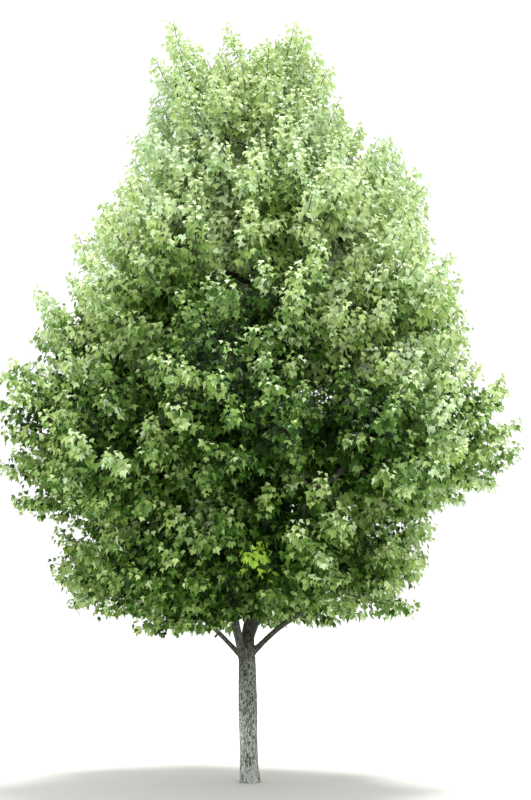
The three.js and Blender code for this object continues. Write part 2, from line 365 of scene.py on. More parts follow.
def outward_at(place):
    """Level way out from the trunk."""
    return unit((place - trunk_at(place[..., 2])) * (1, 1, 0))


def edges_and_normals(triangles):
    edges = triangles[:, 1:] - triangles[:, :1]
    return edges, np.cross(edges[:, 0], edges[:, 1])


def shown_faces():
    """The faces of the masses on the open air round the crown, and each one's mass."""
    shown, owners = [], []
    for mass in masses:
        middles = mass.triangles.mean(1)
        normals = unit(edges_and_normals(mass.triangles)[1])
        facing = (normals * outward_at(middles)).sum(1)
        for triangle, middle, normal, out in zip(mass.triangles, middles, normals, facing):
            probe = middle + normal * 0.05
            if out > -0.25 and not any(other.holds(probe) for other in masses if other is not mass):
                shown.append(triangle)
                owners.append(mass)
    return np.array(shown), owners


# ---- the growing skeleton

class Skeleton:
    """Every joint of the branching, with its heading and the joint it grew from."""

    def __init__(self):
        self.places, self.headings, self.parents, self.loads = [], [], [], []
        self.paths = []  # (joints from the foot on, kind)

    def add(self, place, heading, parent):
        self.places.append(np.asarray(place, float))
        self.headings.append(unit(heading))
        self.parents.append(parent)
        self.loads.append(0.0)
        return len(self.places) - 1

    def at(self, joints):
        return np.array([self.places[joint] for joint in joints])

    def add_line(self, points, parent, kind):
        joints = [] if parent is None else [parent]
        headings = np.gradient(points, axis=0)
        for point, heading in zip(points, headings):
            joints.append(self.add(point, heading, joints[-1] if joints else -1))
        self.paths.append((joints, kind))
        return joints

    def grow(self, start, target, step, lift, kind):
        """Grows a bent path from a joint to a target, turned up by lift at its end."""
        foot = self.places[start]
        way = target - foot
        reach = np.linalg.norm(way)
        leaving = unit(HEADING_KEPT * self.headings[start] + unit(way))
        arriving = unit(unit(way) + lift * UP)
        count = max(2, math.ceil(reach / step))
        start_pull, end_pull = foot + leaving * reach * 0.36, target - arriving * reach * 0.34
        points = bent_line(foot, start_pull, end_pull, target, count + 1)[1:]
        waver = rng.normal(0, WAVER * reach / count, points.shape)
        waver[-1] = 0
        return self.add_line(points + waver, start, kind)[1:]

    def radii(self):
        """Radius of every joint, from how many sprays it carries."""
        loads = np.array(self.loads)
        for joint in range(len(loads) - 1, -1, -1):
            if self.parents[joint] >= 0:
                loads[self.parents[joint]] += loads[joint]
        return TWIG_RADIUS * np.maximum(loads, 1) ** (1 / PIPE_POWER)


skeleton = Skeleton()
upper_trunk = trunk_places[len(TRUNK_LEVELS) - 1 :]
trunk_joints = skeleton.add_line(smooth_path(upper_trunk, LIMB_STEP), None, "trunk")


def bough_lines():
    """Each bough's middle line, from inside the trunk, and its radii."""
    lines = {}
    for name in bough_names:
        places, radii = read_bough(name)
        fall = places[0] - places[1]
        inward = trunk_at(places[0][2]) - places[0]
        inward[2] = 0
        steps = np.linalg.norm(inward) / max(np.linalg.norm(fall[:2]), 0.02)
        foot = trunk_at(places[0][2] + fall[2] * min(steps, 2.5))
        lines[name] = (np.vstack([foot, places]), np.concatenate([[radii[0] * 1.12], radii]))
    return lines


boughs = bough_lines()


def best_joint(joints, target, rise_range):
    """The joint that a limb to the target grows from."""
    way = target - skeleton.at(joints)
    reach = lengths(way)
    slope = np.degrees(np.arcsin(np.clip(way[:, 2] / np.maximum(reach, 1e-6), -1, 1)))
    low, high = rise_range
    wrong = np.maximum(low - slope, 0) + np.maximum(slope - high, 0)
    return joints[int(np.argmin(reach * (1 + wrong / SLOPE_PENALTY)))]


def main_limbs():
    """One limb into each mass and on towards its outer end. Returns each mass's joints."""
    limb_joints = {}
    starts = list(trunk_joints)
    for name in bough_names:
        line, _ = boughs[name]
        foot = min(trunk_joints, key=lambda joint: np.linalg.norm(skeleton.places[joint] - line[0]))
        joints = skeleton.add_line(smooth_path(line[1:], LIMB_STEP), foot, "bough")
        mass = min(masses, key=lambda one: one.tree.find_nearest(Vector(line[-1]))[3])
        starts.extend(joints[1:])
        if mass not in limb_joints:
            limb_joints[mass] = skeleton.grow(joints[-1], mass.heart, LIMB_STEP, 0.1, "limb")
            starts.extend(limb_joints[mass])
    for mass in sorted((one for one in masses if one not in limb_joints), key=lambda one: one.heart[2]):
        start = best_joint(starts, mass.heart, TOP_LIMB_SLOPES if mass.ring == "top" else LIMB_SLOPES)
        limb_joints[mass] = skeleton.grow(start, mass.heart, LIMB_STEP, 0.25, "limb")
        starts.extend(limb_joints[mass])
    for mass, joints in limb_joints.items():
        way = Vector(unit(outward_at(mass.heart) + RING_RISE[mass.ring] * UP))
        hit = mass.tree.ray_cast(Vector(mass.heart), way)[0]
        tip = np.array(hit if hit else mass.heart)
        tip = mass.heart + (tip - mass.heart) * LIMB_END
        limb_joints[mass] = joints[-3:] + skeleton.grow(joints[-1], tip, LIMB_STEP, 0.2, "limb")
    return limb_joints


# ---- plumes

def azimuth_of(offset):
    return np.degrees(np.arctan2(offset[..., 1], offset[..., 0]))


def nearness(place, spots):
    """From 0 to 1, how near a place on the crown is to the nearest spot."""
    azimuths, heights, radii = np.transpose(spots)
    from_trunk = place - trunk_at(place[2])
    turns = np.radians((azimuth_of(from_trunk) - azimuths + 180) % 360 - 180)
    apart = np.hypot(turns * np.hypot(*from_trunk[:2]), place[2] - heights)
    return float(smooth_step(np.max(1 - apart / (2 * radii)), 0.0, 0.75))


def leading_corner(mass, triangles, owners):
    """Where a mass's leading shoot ends, and the face of the corner that it points to."""
    mine = [index for index, owner in enumerate(owners) if owner is mass]
    corners = triangles[mine].reshape(-1, 3)
    out = outward_at(mass.heart) * (mass.ring != "top")
    lift = 1.0 if mass.ring in ("top", "high") else 0.25
    best = int(np.argmax(corners @ (out + lift * UP)))
    return corners[best] - LEADER_SINK * unit(out + UP), mine[best // 3]


def hem_at(places):
    """The lowest that leaves hang at each place's azimuth."""
    return np.interp((azimuth_of(places - FORK) - 180) % 360 + 180, *np.transpose(HEM))


def surface_tips(triangles, owners):
    """Plume tips over the crown's outer surface, closer together where it is denser."""
    edges, normals = edges_and_normals(triangles)
    areas = lengths(normals) / 2
    count = int(areas.sum() * DARTS_PER_SQUARE_METRE)
    chosen = rng.choice(len(triangles), count, p=areas / areas.sum())
    a, b = rng.uniform(0, 1, (2, count, 1))
    a, b = np.where(a + b > 1, (1 - a, 1 - b), (a, b))
    places = triangles[chosen, 0] + a * edges[chosen, 0] + b * edges[chosen, 1]
    normals = unit(normals[chosen])
    lead_places, lead_faces = zip(*[leading_corner(mass, triangles, owners) for mass in masses])
    places = np.vstack([lead_places, places])
    normals = np.vstack([np.tile(UP, (len(masses), 1)), normals])
    chosen = np.concatenate([lead_faces, chosen])
    thin = smooth_step(-layered_noise(places / CLUMP_SIZE, SEED, 2), 0.05, 0.55)
    spacing = PLUME_SPACING * (0.88 + 0.5 * thin) * np.interp(places[:, 2], *SPACING_BY_HEIGHT)
    tips, kept = [], np.empty((0, 3))
    for index, place in enumerate(places):
        if len(kept) and lengths(kept - place).min() < spacing[index]:
            continue
        near_trunk = np.linalg.norm((place - trunk_at(place[2]))[:2]) < OPEN_UNDERSIDE
        lack = HOLLOW_LACK * nearness(place, HOLLOWS)
        if (near_trunk and normals[index, 2] < -0.2) or rng.uniform() < lack:
            continue
        kept = np.vstack([kept, place])
        tips.append((owners[chosen[index]], place + normals[index] * PLUME_RISE, normals[index], True))
    return tips


def inner_tips(surface):
    """Tips of the shaded plumes inside the crown, on a jittered grid."""
    low = np.min([mass.low for mass in masses], axis=0)
    high = np.max([mass.high for mass in masses], axis=0)
    grid = np.array(list(np.ndindex(*np.ceil((high - low) / INNER_SPACING).astype(int))))
    places = low + (grid + rng.uniform(0, 1, grid.shape)) * INNER_SPACING
    tips = []
    for place in places:
        _, normal, _, depth = surface.find_nearest(Vector(place))
        covered = all(surface.ray_cast(Vector(place), Vector(way))[0] for way in (outward_at(place), UP))
        if covered and INNER_DEPTH[0] < depth < INNER_DEPTH[1]:
            home = min(masses, key=lambda mass: lengths((place - mass.heart) / (mass.high - mass.low)))
            tips.append((home, place, np.array(normal), False))
    return tips


class Plume:
    """A leafy branchlet: its curved middle line, and what makes its leaves paler: its painted highlight and
    shade.
    """

    def __init__(self, mass, tip, normal, outer):
        out = outward_at(tip)
        rise = np.interp(tip[2], *RISE_BY_HEIGHT) * (0.1 + 0.9 * smooth_step(normal[2], -0.75, 0.0))
        way = unit(out + rise * UP + 0.45 * normal + rng.normal(0, PLUME_WANDER, 3))
        leaving = unit(way + 0.8 * out - 0.35 * UP)
        length = rng.uniform(*PLUME_LENGTH) * (1 if outer else INNER_LENGTH)
        tall = outer and rng.uniform() < TALL_SHARE * np.interp(tip[2], *TALL_BY_HEIGHT)
        ragged = np.interp(tip[2], *RAGGED_BY_HEIGHT)
        tip = tip + way * (ragged * rng.uniform(*TALL_RISE) if tall else rng.uniform(-0.06, 0.05))
        foot = tip - length * (0.6 * way + 0.4 * leaving)
        foot = foot + 0.12 * (mass.heart - foot)
        self.mass, self.outer, self.length, self.out, self.normal = mass, outer, length, out, normal
        self.line = bent_line(foot, foot + leaving * length * 0.36, tip - way * length * 0.36, tip, 8)
        # Painted highlight on the plume's tip: random from plume to plume, and stronger near the highlight
        # places.
        self.tip_highlight = rng.uniform(0.0, CREST_HIGHLIGHT) ** 1.5 + TONE_HIGHLIGHT_SPOT * nearness(tip, HIGHLIGHT_PLACES)
        self.shade = nearness(tip, SHADED_PLACES)
        self.droop = np.interp(tip[2], *DROOP_BY_HEIGHT)
        self.lime = nearness(tip, [LIME_PLACE]) > 0.4
        self.blueness = noise(tip[None] / HUE_PATCH, SEED + 9)[0]
        self.joints = []

    def at(self, shares):
        return along_share(self.line, shares)


def join_plumes(limb_joints, plumes):
    """Grows a twig to every plume's foot from the joint of its mass that suits it best."""
    for mass, joints in limb_joints.items():
        core = skeleton.at(joints)
        own = [plume for plume in plumes if plume.mass is mass]
        own.sort(key=lambda plume: lengths(core - plume.line[0]).min())
        near = list(joints)
        for plume in own:
            way = plume.line[0] - skeleton.at(near)
            headings = np.array([skeleton.headings[joint] for joint in near])
            reach = lengths(way)
            turn = 1 - (way * headings).sum(1) / np.maximum(reach, 1e-6)
            start = near[int(np.argmin(reach * (1 + TURN_PENALTY * turn)))]
            twig = skeleton.grow(start, plume.line[0], TWIG_STEP, 0.12, "twig")
            plume.joints = skeleton.add_line(plume.line[1:], twig[-1], "twig")
            near.extend(twig + plume.joints[1:4])


# ---- meshes

def round_angles(sides):
    return np.arange(sides) * 2 * math.pi / sides


def tube(points, radii, sides):
    """Corners and triangles of a tapering tube with a closed tip."""
    ways = unit(np.gradient(points, axis=0))
    spare = np.eye(3)[np.argmin(np.abs(ways.mean(0)))]
    across = unit(np.cross(ways, spare))
    third = np.cross(ways, across)
    angles = round_angles(sides)[:, None]
    ring = np.cos(angles) * across[:, None] + np.sin(angles) * third[:, None]
    corners = points[:, None] + ring * radii[:, None, None]
    count = len(points)
    a = np.arange((count - 1) * sides)
    b = a - a % sides + (a + 1) % sides
    walls = np.concatenate([np.stack([a, b, b + sides], 1), np.stack([a, b + sides, a + sides], 1)])
    tip = np.stack([a[-sides:] + sides, b[-sides:] + sides, np.full(sides, count * sides)], 1)
    end = points[-1] + ways[-1] * radii[-1]
    return np.vstack([corners.reshape(-1, 3), end]), np.vstack([walls, tip])


def spike(line, radius):
    """Corners and triangles of a straight shoot with three sides and a point."""
    way = unit(line[1] - line[0])
    across = unit(np.cross(way, (0.3, 0.5, 0.8)))
    angles = round_angles(3)[:, None]
    ring = line[0] + radius * (np.cos(angles) * across + np.sin(angles) * np.cross(way, across))
    return np.vstack([ring, line[1]]), np.array([(0, 1, 3), (1, 2, 3), (2, 0, 3)])


class Heap:
    """Collects small meshes into one. Marks are the places of their materials."""

    def __init__(self):
        self.places, self.faces, self.marks, self.count = [], [], [], 0

    def add(self, places, faces, marks=0):
        self.places.append(places)
        self.faces.append(faces + self.count)
        self.marks.append(np.broadcast_to(marks, len(faces)))
        self.count += len(places)

    def made_into(self, name, materials, smooth=True):
        mesh = bpy.data.meshes.new(name)
        mesh.from_pydata(np.vstack(self.places), [], np.vstack(self.faces), shade_flat=not smooth)
        for material in materials:
            mesh.materials.append(material)
        mesh.polygons.foreach_set("material_index", np.concatenate(self.marks).astype(np.int32))
        made = bpy.data.objects.new(name, mesh)
        scene.collection.objects.link(made)
        return made


# ---- materials

def srgb(red, green, blue):
    """A colour for a shader from the usual 0 to 255 numbers."""
    shares = np.array([red, green, blue]) / 255
    linear = np.where(shares <= 0.04045, shares / 12.92, ((shares + 0.055) / 1.055) ** 2.4)
    return (*linear, 1.0)


def plain_material(name, colour, roughness, specular=0.5):
    material = bpy.data.materials.new(name)
    material.use_nodes = True
    shader = material.node_tree.nodes["Principled BSDF"]
    shader.inputs["Base Color"].default_value = srgb(*colour)
    shader.inputs["Roughness"].default_value = roughness
    shader.inputs["Specular IOR Level"].default_value = specular
    return material


# Lit and shaded copies of one leaf green, as painted light and shade: from painted shade in the heart of the
# crown to painted highlight on the plumes' tips.
LEAF_LIGHT_AND_SHADE = [
    ("deep", (18, 44, 8)),
    ("dark", (37, 68, 16)),
    ("green", (61, 98, 26)),
    ("mid", (90, 128, 48)),
    ("bright", (122, 156, 73)),
    ("light", (154, 184, 103)),
    ("pale", (183, 208, 137)),
    ("highlight", (206, 225, 173)),
]
PALEST = len(LEAF_LIGHT_AND_SHADE) - 1
# Shoots are of a yellower or a bluer green, as shares of red and of blue.
LEAF_HUES = [("yellow", 1.0, 0.95), ("blue", 0.985, 1.035)]
LIME = (160, 198, 66)
LEAF_ROUGHNESS = 0.42
DULL_LEAVES = ("deep", "dark", "green")  # leaves in the shade mirror little of the sky
DULL_SPECULAR = 0.2

leaf_materials = []
for tone, (red, green, blue) in LEAF_LIGHT_AND_SHADE:
    specular = DULL_SPECULAR if tone in DULL_LEAVES else 0.5
    for hue, redder, bluer in LEAF_HUES:
        colour = (red * redder, green, blue * bluer)
        leaf_materials.append(plain_material(f"leaf_{tone}_{hue}", colour, LEAF_ROUGHNESS, specular))
leaf_materials.append(plain_material("leaf_lime", LIME, LEAF_ROUGHNESS))
LIME_MARK = len(leaf_materials) - 1
STALK_MARK = len(leaf_materials)
stalk_material = plain_material("leaf_stalk", (118, 126, 62), 0.55)
twig_material = plain_material("young_twig", (82, 82, 46), 0.7)
# The limbs' bark colour, darkened as painted shade of the crown they grow in.
shaded_limb_material = plain_material("limb_bark_shaded", (64, 62, 52), 0.85)
LIMB_MARK, TWIG_MARK = 0, 1


WHITE = (255, 255, 255)


def bark_material():
    """Light grey bark, flecked and mottled, with darker cracks; painted light on its left side, and painted
    shade of the crown, darker upwards.
    """
    material = bpy.data.materials.new("bark")
    material.use_nodes = True
    tree = material.node_tree

    def fill(made, inputs):
        """Sets a node's inputs to values or links them to other nodes' outputs."""
        for name, value in dict(inputs).items():
            if isinstance(value, bpy.types.NodeSocket):
                tree.links.new(value, made.inputs[name])
            else:
                made.inputs[name].default_value = value

    def node(kind, output, inputs=(), **settings):
        made = tree.nodes.new(kind)
        for name, value in settings.items():
            setattr(made, name, value)
        fill(made, inputs)
        return made.outputs[output]

    place = node("ShaderNodeTexCoord", "Object")
    across = node("ShaderNodeSeparateXYZ", "X", {"Vector": place})
    height = node("ShaderNodeSeparateXYZ", "Z", {"Vector": place})

    def noise_of(scale, detail, roughness=0.6):
        stretched = node("ShaderNodeMapping", "Vector", {"Vector": place, "Scale": scale})
        inputs = {"Vector": stretched, "Scale": 1.0, "Detail": detail, "Roughness": roughness}
        return node("ShaderNodeTexNoise", "Fac", inputs)

    def spread(value, low, high, to_low=0.0, to_high=1.0):
        ends = {"Value": value, "From Min": low, "From Max": high, "To Min": to_low, "To Max": to_high}
        return node("ShaderNodeMapRange", "Result", ends)

    def ramp(value, *stops):
        made = tree.nodes.new("ShaderNodeValToRGB")
        fill(made, {"Fac": value})
        elements = made.color_ramp.elements
        while len(elements) < len(stops):
            elements.new(0.5)
        for element, (position, *colour) in zip(elements, stops):
            element.position, element.color = position, srgb(*colour)
        return made.outputs["Color"]

    def painted(name):
        return node("ShaderNodeAttribute", "Fac", attribute_name=name)

    plates, mottles = noise_of((40, 40, 12), 4), noise_of((5, 5, 2.2), 3)
    flecks = noise_of((78, 78, 32), 3, 0.68)
    # Painted side light: the bark lighter on the trunk's left side and darker to its right.
    lit_from_left, shade_rising = spread(across, -0.06, 0.10), spread(height, 0.0, 1.3)
    plate_tones = (0.30, 174, 177, 172), (0.45, 214, 218, 215), (0.62, 236, 241, 239), (0.8, 246, 250, 250)
    # Painted shade of the crown: the bark darker upwards from about 0.6 m.
    crown_shade_tones = (0.44, *WHITE), (0.58, 205, 206, 199), (0.77, 176, 178, 169), (1.0, 170, 172, 161)
    colour = ramp(plates, *plate_tones)
    layers = [
        ("MULTIPLY", spread(height, 0.3, 0.8, 0.62, 1.0), ramp(flecks, (0.43, 66, 63, 55), (0.52, *WHITE))),
        ("MULTIPLY", 0.45, ramp(mottles, (0.38, 180, 184, 160), (0.6, *WHITE))),
        # The painted side light.
        ("MULTIPLY", 1.0, ramp(lit_from_left, (0, 250, 255, 253), (1, 222, 222, 214))),
        # The painted shade of the crown, darker upwards.
        ("MULTIPLY", 1.0, ramp(shade_rising, *crown_shade_tones)),
        ("MIX", painted("crack"), srgb(64, 61, 54)),
        # A reddish-brown patch on the front of the fork.
        ("MIX", painted("fork_patch"), srgb(84, 60, 53)),
        # Painted shade of the crown on the upper trunk and on the boughs.
        ("MULTIPLY", painted("upper"), srgb(118, 120, 108)),
    ]
    for kind, factor, layer in layers:
        inputs = {"Factor": factor, "A": colour, "B": layer}
        colour = node("ShaderNodeMix", "Result", inputs, data_type="RGBA", blend_type=kind)
    grain = noise_of((170, 170, 45), 4, 0.7)
    bump = node("ShaderNodeBump", "Normal", {"Strength": 0.5, "Distance": 0.003, "Height": grain})
    roughness = spread(noise_of((60, 60, 18), 3), 0, 1, 0.78, 0.96)
    fill(tree.nodes["Principled BSDF"], {"Base Color": colour, "Roughness": roughness, "Normal": bump})
    return material


# ---- trunk and boughs

ROOT_RIDGES = 5
ROOT_RIDGE_SWELL = 0.09
ROOT_RIDGE_HEIGHT = 0.26
ROOT_RIDGE_TURN = 0.6
# Sizes of the bark's features, twice across the limb and once along it, and their heights.
WARP_SIZE = (0.04, 0.04, 0.08)
OPEN_SIZE = (0.09, 0.09, 0.3)
PLATE_SIZE, PLATE_HEIGHT = (0.03, 0.03, 0.07), 0.0016
CRACK_SIZE, CRACK_DEPTH = (0.017, 0.017, 0.06), 0.0042
SWELL_SIZE, SWELL_HEIGHT = (0.12, 0.12, 0.35), 0.0035
CALMER_FROM = (1.2, 1.9)  # the trunk's bark gets smoother between these levels,
CROWN_SHADE_FROM = (1.22, 1.50)  # and darker between these, as painted shade of the crown
BOUGH_ROUGHNESS = 0.45  # against the trunk's 1
BOUGH_CROWN_SHADE = 0.70  # how far the boughs have the upper bark's painted shade of the crown
COLLAR_SWELL = 0.32
COLLAR_LENGTH = 0.13
SCAR_RIM = 0.005
SCAR_HOLLOW = 0.006
SCAR_REACH = 0.09


def closed_foot(corners, faces, foot, sides):
    """A tube with its open foot closed by a fan round a place."""
    ring = np.arange(sides)
    fan = np.stack([(ring + 1) % sides, ring, np.full(sides, len(corners))], 1)
    return np.vstack([corners, foot]), np.vstack([faces, fan])


def trunk_skin():
    """A fine tube round the trunk's middle line, with the ridges of its root flare."""
    places = smooth_path(trunk_places, SKIN_STEP)
    places = places[places[:, 2] < BARK_TOP + 0.1]
    radii = trunk_radius_at(places[:, 2])
    places = np.vstack([places[0] - 0.05 * UP, places])
    radii = np.concatenate([radii[:1], radii])
    angles = round_angles(TRUNK_SIDES)
    fade = np.clip(1 - places[:, 2] / ROOT_RIDGE_HEIGHT, 0, 1) ** 2
    swell = 1 + ROOT_RIDGE_SWELL * fade[:, None] * np.cos(ROOT_RIDGES * angles - ROOT_RIDGE_TURN)
    corners, faces = tube(places, radii, TRUNK_SIDES)
    ring = np.stack([np.cos(angles), np.sin(angles), np.zeros(TRUNK_SIDES)], 1)
    walls = places[:, None] + ring * (radii[:, None] * swell)[..., None]
    corners[:-1] = walls.reshape(-1, 3)
    return closed_foot(corners, faces, places[0], TRUNK_SIDES)


def gone_along(line):
    """How far along a line each of its points lies."""
    return np.concatenate([[0], np.cumsum(lengths(np.diff(line, axis=0)))])


def along_line(places, line, radii):
    """Each place's way along a limb, its offset from the middle line, and how far off the skin it is."""
    start, way = line[:-1], np.diff(line, axis=0)
    gone, length = gone_along(line), lengths(way)
    best = np.full(len(places), np.inf)
    along = np.zeros(len(places))
    offset = np.zeros((len(places), 3))
    for i in range(len(way)):
        share = np.clip((places - start[i]) @ way[i] / length[i] ** 2, 0, 1)
        foot = start[i] + share[:, None] * way[i]
        apart = lengths(places - foot)
        skin = apart - (radii[i] + (radii[i + 1] - radii[i]) * share)
        nearer = skin < best
        best[nearer] = skin[nearer]
        along[nearer] = gone[i] + share[nearer] * length[i]
        offset[nearer] = (places - foot)[nearer]
    return along, offset, best


def bark_relief(offset, along, limb, roughness):
    """Height of the bark in metres, and how deep in a crack each place lies, from 0 to 1."""
    grain = np.column_stack([offset[:, 0], offset[:, 1], along + 0.6 * offset[:, 2]])
    warp = 0.5 * layered_noise(grain / WARP_SIZE + 7.3, 40 + limb, 2)[:, None]
    cracks = np.abs(layered_noise(grain / CRACK_SIZE + warp, 50 + limb, 2))
    open_places = noise(grain / OPEN_SIZE, 60 + limb)
    crack = (1 - smooth_step(cracks, 0.02, 0.17)) * smooth_step(open_places, -0.55, 0.3)
    plates = layered_noise(grain / PLATE_SIZE, 70 + limb, 3)
    swell = noise(grain / SWELL_SIZE, 80 + limb)
    height = roughness * (PLATE_HEIGHT * plates - CRACK_DEPTH * crack) + SWELL_HEIGHT * swell
    return height, crack * roughness


# Marks on the trunk: height, azimuth in degrees, half height and half width.
SCARS = [
    (1.10, 262, 0.034, 0.024), (0.72, 148, 0.022, 0.018), (0.88, 20, 0.026, 0.020),
    (0.46, 305, 0.018, 0.014), (0.60, 75, 0.02, 0.016),
]
FORK_PATCH = (1.29, 281, 0.055, 0.018)  # the brown mark in the front of the fork


def seen_from(mark, places, radius):
    """Each place's offset from a mark's middle, its distance in the mark's half sizes, and the way out."""
    level, azimuth, half_height, half_width = mark
    angle = math.radians(azimuth)
    way = np.array([math.cos(angle), math.sin(angle), 0])
    offset = places - (trunk_at(level) + way * radius)
    side = offset @ np.array([-way[1], way[0], 0])
    return offset, np.hypot(side / half_width, offset[:, 2] / half_height), way


def scar_relief(places):
    """The height of rims round sunken knots, and how dark each place in them is."""
    height, dark = np.zeros((2, len(places)))
    for scar in SCARS:
        offset, apart, _ = seen_from(scar, places, trunk_radius_at(scar[0]))
        near = lengths(offset) < SCAR_REACH
        rim, hollow = np.exp(-(((apart - 1) / 0.35) ** 2)), np.exp(-((apart / 0.55) ** 2))
        height += near * (SCAR_RIM * rim - SCAR_HOLLOW * hollow)
        dark = np.maximum(dark, near * (1 - smooth_step(apart, 0.45, 0.95)))
    return height, dark


def fork_patch_at(places):
    offset, apart, way = seen_from(FORK_PATCH, places, 0)
    return (offset @ way > 0) * (1 - smooth_step(apart + 0.25 * noise(places / 0.02, 91), 0.5, 1.2))


def collar_points(bough_line, bough_radii):
    """The bough widened where it leaves the trunk, as a branch collar."""
    line = smooth_path(bough_line, SKIN_STEP)
    gone = gone_along(line)
    radii = np.interp(gone, gone_along(bough_line), bough_radii)
    return line, radii * (1 + COLLAR_SWELL * np.exp(-((gone / COLLAR_LENGTH) ** 2)))


def fuse(skin):
    """One smooth skin for a heap of tubes, cut flat at the ground."""
    skin.modifiers.new("fuse", "REMESH").voxel_size = BARK_VOXEL
    skin.modifiers.new("smooth", "SMOOTH").iterations = SKIN_SMOOTHING
    old, graph = skin.data, bpy.context.evaluated_depsgraph_get()
    skin.data = bpy.data.meshes.new_from_object(skin.evaluated_get(graph))
    skin.modifiers.clear()
    bpy.data.meshes.remove(old)
    shape = bmesh.new()
    shape.from_mesh(skin.data)
    whole = shape.verts[:] + shape.edges[:] + shape.faces[:]
    cut, down = (0, 0, BARK_FLOOR), (0, 0, -1)
    bmesh.ops.bisect_plane(shape, geom=whole, plane_co=cut, plane_no=down, clear_outer=True)
    bmesh.ops.holes_fill(shape, edges=[edge for edge in shape.edges if edge.is_boundary], sides=0)
    shape.to_mesh(skin.data)
    shape.free()


def make_bark():
    """One fused skin of trunk and boughs, remeshed fine and raised into bark."""
    heap = Heap()
    heap.add(*trunk_skin())
    trunk = smooth_path(trunk_places, 0.06)
    lines = [(trunk, trunk_radius_at(trunk[:, 2]))]
    for name in bough_names:
        line, radii = collar_points(*boughs[name])
        heap.add(*closed_foot(*tube(line, radii, BOUGH_SIDES), line[0], BOUGH_SIDES))
        lines.append((line, radii))
    skin = heap.made_into("bark", [bark_material()])
    fuse(skin)
    places, normals = read(skin.data.vertices, "co"), read(skin.data.vertex_normals, "vector")
    level = places[:, 2]
    rows = []
    for limb, (line, radii) in enumerate(lines):
        along, offset, apart = along_line(places, line, radii)
        # upper is painted shade of the crown: darker up the trunk, and on the boughs.
        if limb == 0:
            roughness = 1 - (1 - BOUGH_ROUGHNESS) * smooth_step(level, *CALMER_FROM)
            upper = smooth_step(level, *CROWN_SHADE_FROM)
        else:
            roughness, upper = BOUGH_ROUGHNESS, np.full(len(places), BOUGH_CROWN_SHADE)
        weight = np.exp(-np.maximum(apart, 0) / SKIN_BLEND)
        rows.append([weight, *bark_relief(offset, along, limb, roughness), upper])
    weights, *layers = np.swapaxes(rows, 0, 1)
    height, crack, upper = ((weights / weights.sum(0) * layer).sum(0) for layer in layers)
    scar_height, scar_dark = scar_relief(places)
    calm = smooth_step(level, BARK_FLOOR, 0.02)
    places = places + normals * (calm * (height + scar_height))[:, None]
    places[:, 2] = np.where(places[:, 2] < 0.002, 0.0, places[:, 2])
    skin.data.vertices.foreach_set("co", places.astype(np.float32).ravel())
    marks = {"crack": np.maximum(crack, scar_dark), "upper": upper, "fork_patch": fork_patch_at(places)}
    for name, values in marks.items():
        layer = skin.data.attributes.new(name, "FLOAT", "POINT")
        layer.data.foreach_set("value", np.clip(values, 0, 1).astype(np.float32))
    skin.data.update()
    skin.data.shade_smooth()
    finished(skin, "bark", "trunk", *bough_names)


def finished(made, slot, *nodes):
    """Every piece rides on the tree's one body and stands for its solids; the slot is not used."""
    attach(made, "root")
    if nodes:
        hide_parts(*nodes)


# ---- limbs and twigs

def ring_of(height):
    """The ring nearest in height, for the name of a twig's piece."""
    middles = {ring: np.mean([mass.heart[2] for mass in masses if mass.ring == ring]) for ring in RINGS}
    return min(RINGS, key=lambda ring: abs(middles[ring] - height))


def path_tube(joints, radii):
    points = skeleton.at(joints)
    thick = radii[joints].copy()
    thick[0] = min(thick[0], thick[1] * 1.25)
    if len(points) > 3:
        points = smooth_path(points, 0.6 * TWIG_STEP) if thick[1] > 0.009 else points
        thick = np.interp(np.linspace(0, 1, len(points)), np.linspace(0, 1, len(thick)), thick)
    sides = next(sides for below, sides in SIDES_BY_RADIUS if thick[1] < below)
    return tube(points, thick, sides)


def make_limbs(radii):
    """The leader and the limbs in the crown, and the twigs, ring by ring."""
    limbs = Heap()
    twigs = {ring: Heap() for ring in RINGS}
    leader = smooth_path(trunk_places[trunk_places[:, 2] > BARK_TOP - 0.25], 0.08)
    limbs.add(*tube(leader, trunk_radius_at(leader[:, 2]) * 0.97, 14))
    for joints, kind in skeleton.paths:
        if kind == "limb":
            limbs.add(*path_tube(joints, radii))
        elif kind == "twig":
            thick = radii[joints[1]] > THICK_TWIG
            ring = ring_of(skeleton.places[joints[-1]][2])
            twigs[ring].add(*path_tube(joints, radii), LIMB_MARK if thick else TWIG_MARK)
    finished(limbs.made_into("crown_limbs", [shaded_limb_material]), "bough_bark")
    return twigs


# ---- leaves

# A lobed leaf of length 1: its flat corners, across and along, are its foot, its tip and its two edges, and
# a fan of faces spreads from the foot.
LEAF_EDGE = [(0.36, 0.03), (0.58, 0.53), (0.23, 0.57)]
LEAF_FLAT = np.array([(0, 0), (0, 1), *LEAF_EDGE, *((-across, along) for across, along in LEAF_EDGE)])
LEAF_FACES = np.array([(0, 2, 3), (0, 3, 4), (0, 4, 1), (0, 6, 5), (0, 7, 6), (0, 1, 7)])


def leaf_corners(feet, along, normal, length, fold, curl, twist):
    """Corners of leaves, folded up along the midrib and curled down to their tips and edges."""
    across = np.cross(along, normal)
    x, y = LEAF_FLAT[:, 0], LEAF_FLAT[:, 1]
    rise = fold[:, None] * np.abs(x) - curl[:, None] * (y**2 * 0.9 + x**2 * 0.8) + twist[:, None] * x * y
    x, y = x[None, :, None], y[None, :, None]
    shape = x * across[:, None] + y * along[:, None] + rise[..., None] * normal[:, None]
    return feet[:, None] + length[:, None, None] * shape


def stalk_corners(start, end, width):
    """A thin tapering face from the twig to the leaf for each stalk."""
    way = unit(end - start)
    side = unit(np.cross(way, rng.normal(0, 1, way.shape))) * width / 2
    return np.stack([start - side, start + side, end], 1)


